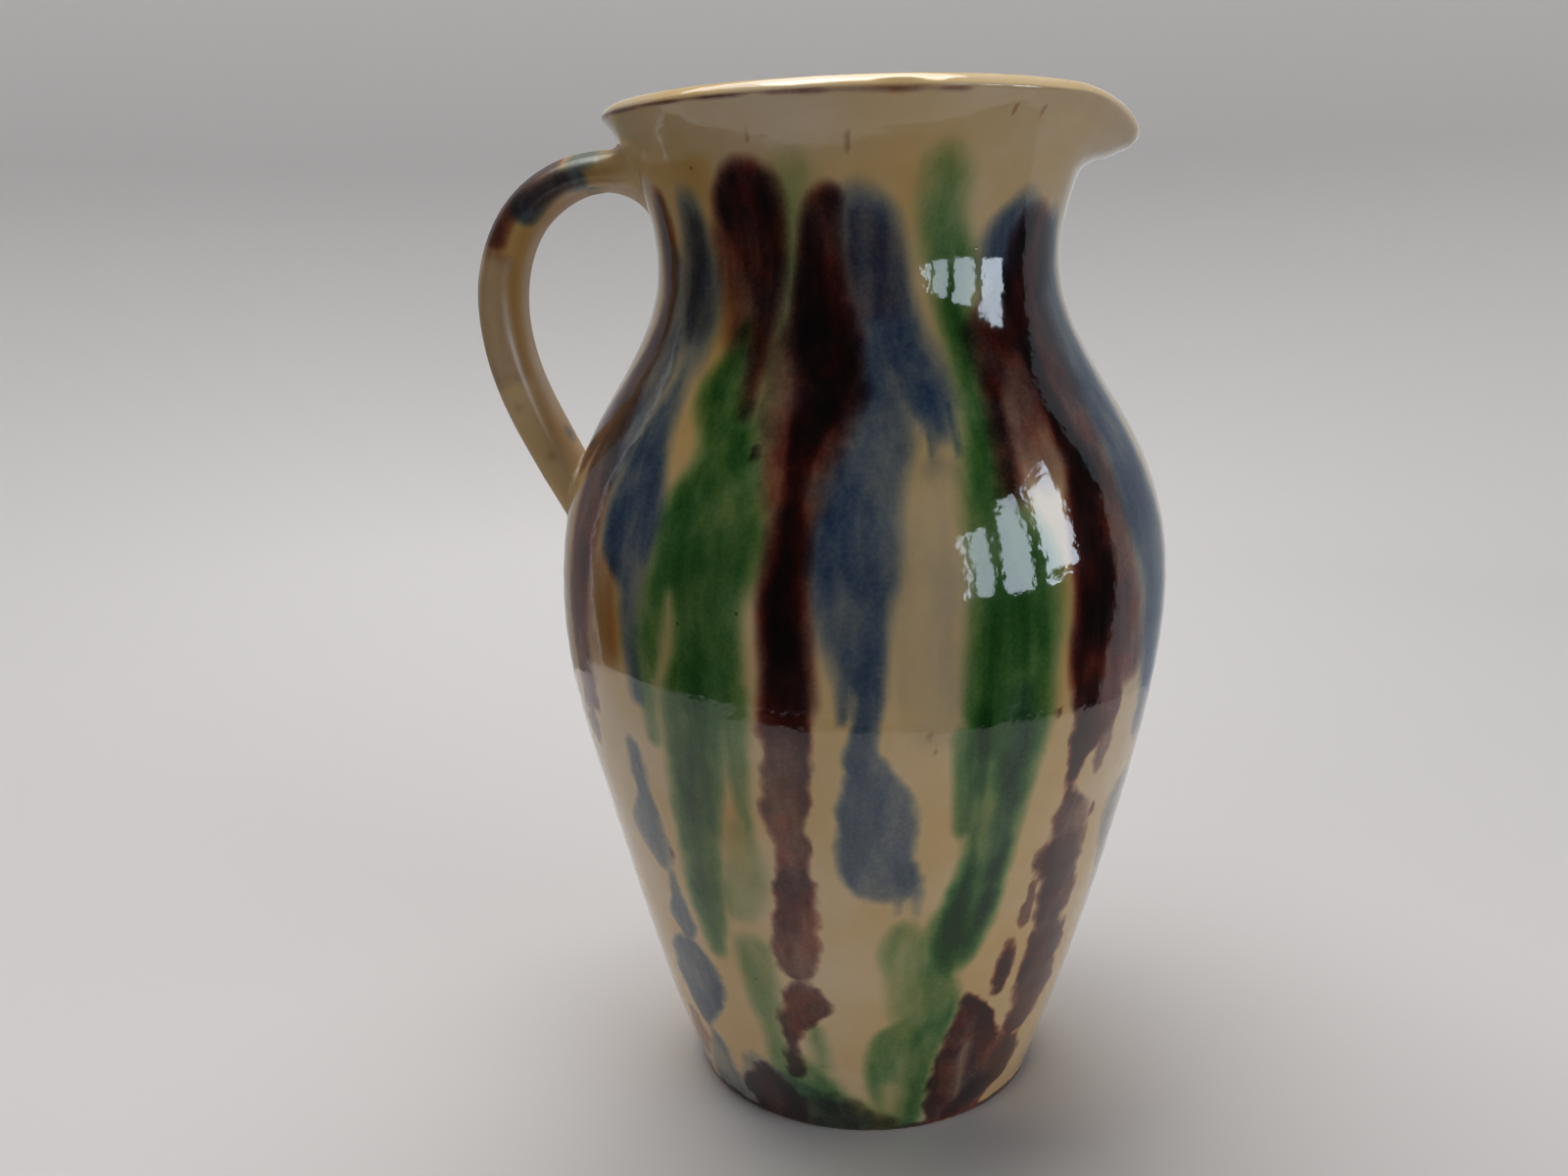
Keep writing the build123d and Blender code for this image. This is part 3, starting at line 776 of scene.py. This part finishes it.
class Graph:
    """Short ways to add and join shader nodes in a material's or a world's tree."""

    def __init__(self, owner):
        owner.use_nodes = True
        self.tree = owner.node_tree
        self.tree.nodes.clear()

    def add(self, kind, settings=(), **inputs):
        """A node with its settings, as pairs, and its inputs, by names with _ for a space."""
        node = self.tree.nodes.new(kind)
        for key, value in settings:
            setattr(node, key, value)
        for name, source in inputs.items():
            self.join(source, node.inputs[name.replace("_", " ")])
        return node

    def join(self, source, target):
        if isinstance(source, (int, float, tuple)):
            target.default_value = source
        else:
            self.tree.links.new(source, target)

    def math(self, operation, a, b=0.0, c=0.0):
        node = self.add("ShaderNodeMath", [("operation", operation)])
        for socket, source in zip(node.inputs, (a, b, c)):
            self.join(source, socket)
        return node.outputs[0]

    def ramp(self, value, low, high, to_low=0.0, to_high=1.0):
        node = self.add("ShaderNodeMapRange", [("interpolation_type", "SMOOTHSTEP")])
        for socket, source in zip(node.inputs, (value, low, high, to_low, to_high)):
            self.join(source, socket)
        return node.outputs[0]

    def mix(self, factor, first, second):
        node = self.add("ShaderNodeMix", [("data_type", "RGBA")])
        for place, source in zip((0, 6, 7), (factor, first, second)):
            self.join(source, node.inputs[place])
        return node.outputs[2]

    def noise(self, vector, scale, detail):
        return self.add("ShaderNodeTexNoise", Vector=vector, Scale=scale, Detail=detail).outputs[0]

    def jitter(self, vector, scale, detail):
        """Noise about zero."""
        return self.math("SUBTRACT", self.noise(vector, scale, detail), 0.5)

    def patchy(self, vector, scale, detail, low, high):
        """Noise between two values."""
        return self.ramp(self.noise(vector, scale, detail), 0.3, 0.7, low, high)

    def drawn(self, vector, share):
        """Draws a pattern out along Z, the longer the smaller the share."""
        return self.add("ShaderNodeMapping", Vector=vector, Scale=(1.0, 1.0, share)).outputs[0]

    def attribute(self, name):
        """The three channels of a colour attribute, and its alpha."""
        node = self.add("ShaderNodeAttribute", [("attribute_name", name)])
        split = self.add("ShaderNodeSeparateColor", Color=node.outputs["Color"])
        return split.outputs, node.outputs["Alpha"]

    def show(self, shader, kind="ShaderNodeOutputMaterial"):
        """Makes a shader what the tree shows."""
        self.join(shader.outputs[0], self.add(kind).inputs[0])


def glaze_depths(g, where, covers, doses, honey):
    """How deep each pigment and the honey glaze lie, with frayed edges and a mottled strength."""
    level = g.add("ShaderNodeSeparateXYZ", Vector=where).outputs["Z"]
    high = g.ramp(level, LOBED_TO, DRAGGED_FROM)
    lobes = g.math("MULTIPLY_ADD", g.jitter(where, 330.0, 1.0), 0.30, g.jitter(where, 125.0, 1.0))
    drags = g.jitter(g.drawn(where, 0.4), 95.0, 2.0)
    half = g.ramp(high, 0.0, 1.0, HALF_EDGE_LOW, HALF_EDGE_HIGH)
    starts, ends = g.math("SUBTRACT", 0.5, half), g.math("ADD", 0.5, half)
    patches = g.patchy(g.drawn(where, 0.5), 75.0, 3.0, 0.62, 1.22)
    streaks = g.patchy(g.drawn(where, 0.12), 260.0, 1.0, 0.90, 1.10)
    grain = g.patchy(where, 900.0, 2.0, 0.92, 1.08)
    mottle = g.math("MULTIPLY", g.math("MULTIPLY", patches, streaks), grain)
    depths = {}
    for pigment, cover, dose in zip(PIGMENTS, covers, doses):
        lobed, dragged = EDGE_JITTER[pigment]
        low_jitter = g.math("MULTIPLY", lobes, g.ramp(high, 0.0, 1.0, lobed, 0.0))
        high_jitter = g.math("MULTIPLY", drags, g.ramp(high, 0.0, 1.0, 0.0, dragged))
        jitter = g.math("ADD", low_jitter, high_jitter)
        edge = g.math("MULTIPLY_ADD", jitter, g.ramp(cover, 0.0, 0.2), cover)
        full = g.ramp(edge, starts, ends)
        depths[pigment] = g.math("MULTIPLY", g.math("MULTIPLY", full, dose), mottle)
    tint = g.ramp(g.noise(where, 95.0, 2.0), 0.36, 0.64, -0.05, 0.85)
    depths["violet"] = g.math("MULTIPLY", depths["brown"], tint)
    cloud = g.patchy(where, 34.0, 4.0, -0.20, 0.30)
    not_blue = g.math("MULTIPLY_ADD", covers[2], -0.8, 1.0)
    depths["honey"] = g.math("MULTIPLY", g.math("ADD", honey, cloud), not_blue)
    return depths


def glaze_specks(g, where):
    """Small dark specks of iron, few and far between."""
    cells = g.add("ShaderNodeTexVoronoi", Vector=where, Scale=95.0)
    rare = g.math("GREATER_THAN", g.noise(where, 55.0, 0.0), 0.60)
    return g.math("MULTIPLY", g.ramp(cells.outputs["Distance"], 0.030, 0.055, 1.0, 0.0), rare)


def glaze_colour(g, depths, speck, honey):
    """The ground's colour, less what every depth of pigment takes from it."""
    glazed = g.add("ShaderNodeCombineColor")
    for axis in range(3):
        total = g.math("MULTIPLY", speck, SPECK_DEPTH)
        for pigment, amount in ABSORB.items():
            total = g.math("MULTIPLY_ADD", depths[pigment], amount[axis], total)
        clear = g.math("EXPONENT", g.math("MULTIPLY", total, -1.0))
        ground = g.ramp(honey, RIM_HONEY, SLIP_HONEY, SLIP[axis], CREAM[axis])
        g.join(g.math("MULTIPLY", clear, ground), glazed.inputs[axis])
    return glazed.outputs[0]


def glaze_material(name, sheen):
    """Glossy lead glaze: cream ground, pigments that absorb by depth, specks, and bare clay.

    sheen is the lowest and highest roughness of the glazed surface.
    """
    material = bpy.data.materials.new(name)
    g = Graph(material)
    where = g.add("ShaderNodeTexCoord").outputs["Object"]
    covers, clay_cover = g.attribute("cover")
    doses, honey = g.attribute("dose")
    speck = glaze_specks(g, where)
    glazed = glaze_colour(g, glaze_depths(g, where, covers, doses, honey), speck, honey)
    bare_edge = g.math("ADD", clay_cover, g.math("MULTIPLY", g.jitter(where, 700.0, 2.0), 0.6))
    bare = g.ramp(bare_edge, 0.40, 0.60)
    clay = g.mix(g.patchy(where, 240.0, 4.0, 0.0, 1.0), CLAY_DARK, CLAY_PALE)
    gloss = g.patchy(where, 60.0, 3.0, *sheen)
    peel = g.math("MULTIPLY_ADD", g.noise(where, 800.0, 2.0), 0.22, g.noise(where, 300.0, 1.0))
    pitted = g.math("MULTIPLY_ADD", speck, -0.6, peel)
    bump = g.add("ShaderNodeBump", Strength=1.0, Distance=BUMP_HEIGHT, Height=pitted)
    colour = g.mix(bare, glazed, clay)
    rough = g.math("ADD", gloss, g.math("MULTIPLY", bare, BARE_ROUGHNESS))
    g.show(g.add("ShaderNodeBsdfPrincipled", Base_Color=colour, Roughness=rough, IOR=GLAZE_IOR,
                 Normal=bump.outputs[0]))
    return material


# ---- The pieces ----

POURED, RUBBED = (0.045, 0.085), (0.32, 0.42)   # roughness of the body, and of what hands have worn
PIECES = [
    (make_body(), "thrown_body", "streaked_glaze", POURED),
    (make_handle(), "handle", "handle_glaze", RUBBED),
    (make_joint("upper_joint", 0.30, 0.02, (34, 75), (2.6, 7.0, 15.0)), "upper_lute", "joint_glaze", RUBBED),
    (make_joint("lower_joint", 0.72, 0.98, (16, 9), (4.0, 3.0, 1.5)), "lower_lute", "joint_glaze", RUBBED),
]
for piece, node, slot, sheen in PIECES:
    piece.data.materials.append(glaze_material(f"{piece.name}_glaze", sheen))
    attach(piece, "root")
    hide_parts(node)


# ---- Stage, light and camera ----

PALE = (0.76, 0.745, 0.75, 1)
TABLE_MIDDLE, TABLE_RADIUS = (-0.03, 0.05), 0.37
FLOOR_RADIUS, SWEEP, WALL_HEIGHT = 0.75, 0.35, 2.4
STAGE_COLUMNS, SWEEP_STEPS = 128, 16


def pale_material():
    """The matt floor and sweep."""
    material = bpy.data.materials.new("pale_floor")
    g = Graph(material)
    matt = g.add("ShaderNodeBsdfPrincipled", Base_Color=PALE, Roughness=0.8, Specular_IOR_Level=0.0)
    g.show(matt)
    return material


def make_stage(name, outline, material):
    """A surface round the table's middle, from (radius, height) pairs, or a disc from one pair."""
    turn = np.arange(STAGE_COLUMNS) * 2 * math.pi / STAGE_COLUMNS
    points = [(TABLE_MIDDLE[0] + r * math.cos(t), TABLE_MIDDLE[1] + r * math.sin(t), z)
              for r, z in outline for t in turn]
    faces = grid_faces(len(outline), STAGE_COLUMNS) or [tuple(range(STAGE_COLUMNS))]
    surface = add_mesh(name, points, faces)
    surface.data.materials.append(material)
    return surface


def make_stages():
    """The table, and round it the floor that sweeps up into the wall."""
    pale = pale_material()
    make_stage("table", [(TABLE_RADIUS, 0.0)], pale)
    bend = [math.pi / 2 * i / SWEEP_STEPS for i in range(SWEEP_STEPS + 1)]
    sweep = [(FLOOR_RADIUS + SWEEP * math.sin(a), SWEEP * (1 - math.cos(a))) for a in bend]
    outline = [(TABLE_RADIUS, 0.0)] + sweep + [(FLOOR_RADIUS + SWEEP, WALL_HEIGHT)]
    backdrop = make_stage("backdrop", outline, pale)
    backdrop.visible_glossy = backdrop.visible_diffuse = backdrop.visible_shadow = False


ROOM_START, ROOM_FULL = 0.78, 0.97       # cosines from +Y where the room's light starts and is full
ROOM_DARK, ROOM_BRIGHT = 0.035, 0.31
ROOM_COLOUR = (1.0, 0.985, 0.98, 1.0)


def make_world():
    """Dark room in front and above, paler behind the pot; it is seen only in the glaze."""
    world = bpy.data.worlds.new("studio")
    bpy.context.scene.world = world
    g = Graph(world)
    direction = g.add("ShaderNodeTexCoord").outputs["Generated"]
    facing = g.add("ShaderNodeSeparateXYZ", Vector=direction).outputs["Y"]
    bright = g.ramp(facing, ROOM_START, ROOM_FULL, ROOM_DARK, ROOM_BRIGHT)
    g.show(g.add("ShaderNodeBackground", Color=ROOM_COLOUR, Strength=bright), "ShaderNodeOutputWorld")


SOFT_LIGHTS = (  # name, place, what it faces, size, watts, colour, whether the glaze mirrors it
    ("overhead", (-0.2, 0.35, 1.7), (0, 0, 0.1), (1.5, 1.3), 22.0, (1.0, 0.985, 0.97), True),
    ("fill_left", (-1.2, -1.2, 0.6), (0, 0, 0.2), (1.2, 1.0), 4.0, (1.0, 0.97, 0.95), False),
    ("fill_right", (1.5, -1.0, 0.5), (0, 0, 0.2), (1.2, 1.0), 11.0, (0.98, 0.985, 1.0), False),
    ("fill_back", (-0.3, 1.5, 0.7), (0, 0, 0.2), (1.6, 1.0), 6.0, (1.0, 0.99, 0.98), False),
)
SKYLIGHT = ("skylight", (0.0, -0.1, 1.3), (0, 0, 0.3), (0.9, 0.45), 10.0, (1.0, 0.97, 0.90))
WINDOW_X, WINDOW_MIDDLE, WINDOW_HEIGHT = 1.7, 0.66, 0.90
WINDOW_COLOUR = (0.76, 0.87, 1.0)
WINDOW_PANES = (  # middle and width of each, and watts for each square metre
    (-2.22, 0.10, 26.0), (-1.75, 0.47, 18.0), (-1.06, 0.46, 20.0), (-0.44, 0.44, 26.0),
)
WALLS = (  # name, start and end in degrees from +Y towards +X, how far off, brightness, colour
    ("wall_left", -66.5, -14.0, 1.44, 0.17, (0.97, 0.97, 1.0)),
    ("wall_left_corner", -66.5, -64.0, 1.40, 0.36, (0.95, 0.97, 1.0)),
    ("wall_right", 79.0, 14.0, 1.60, 0.37, (0.82, 0.90, 1.0)),
)
WALL_MIDDLE, WALL_TALL = 0.9, 4.2


def make_light(name, at, aim, size, watts, colour, glossy=True, diffuse=True):
    """A rectangular soft light at a place, facing another."""
    lamp = bpy.data.lights.new(name, "AREA")
    lamp.shape = "RECTANGLE"
    lamp.size, lamp.size_y = size
    lamp.energy = watts
    lamp.color = colour
    holder = bpy.data.objects.new(name, lamp)
    holder.location = at
    holder.rotation_euler = (Vector(aim) - Vector(at)).to_track_quat("-Z", "Y").to_euler()
    holder.visible_camera = False
    holder.visible_glossy = glossy
    holder.visible_diffuse = diffuse
    bpy.context.scene.collection.objects.link(holder)


def make_window():
    """A barred window at +X, seen only in the glaze."""
    for number, (middle, width, watts) in enumerate(WINDOW_PANES):
        at, aim = (WINDOW_X, middle, WINDOW_MIDDLE), (0, middle, WINDOW_MIDDLE)
        power = watts * width * WINDOW_HEIGHT
        make_light(f"window_{number}", at, aim, (width, WINDOW_HEIGHT), power, WINDOW_COLOUR, diffuse=False)


def make_walls():
    """The room's pale walls behind the pot, seen only in the glaze."""
    for name, start, stop, away, brightness, colour in WALLS:
        turns = [math.radians(a) for a in (start, stop)]
        ends = [Vector((away * math.sin(t), away * math.cos(t), WALL_MIDDLE)) for t in turns]
        middle, width = (ends[0] + ends[1]) / 2, (ends[1] - ends[0]).length
        power = brightness * math.pi * width * WALL_TALL
        make_light(name, middle, (0, 0, WALL_MIDDLE), (width, WALL_TALL), power, colour, diffuse=False)


CAMERA_AT = (0.0, -0.4175, 0.2599)
CAMERA_YAW, CAMERA_PITCH, CAMERA_ROLL = -3.30, -13.92, -1.23   # degrees to +X, up and anticlockwise
CAMERA_LENS, CAMERA_SENSOR = 31.46, 36.0


def make_camera():
    """The camera, level with the neck and close, looking a little down."""
    yaw, pitch, roll = (math.radians(a) for a in (CAMERA_YAW, CAMERA_PITCH, CAMERA_ROLL))
    level = Matrix.Rotation(-yaw, 4, "Z") @ Matrix.Rotation(math.pi / 2 + pitch, 4, "X")
    data = bpy.data.cameras.new("camera")
    data.lens = CAMERA_LENS
    data.sensor_width = CAMERA_SENSOR
    data.clip_start = 0.01
    camera = bpy.data.objects.new("camera", data)
    bpy.context.scene.collection.objects.link(camera)
    camera.matrix_world = Matrix.Translation(CAMERA_AT) @ level @ Matrix.Rotation(roll, 4, "Z")
    bpy.context.scene.camera = camera


make_stages()
make_world()
for light in SOFT_LIGHTS:
    make_light(*light)
make_window()
make_walls()
make_light(*SKYLIGHT, diffuse=False)
make_camera()
bpy.context.scene.view_settings.view_transform = "Standard"
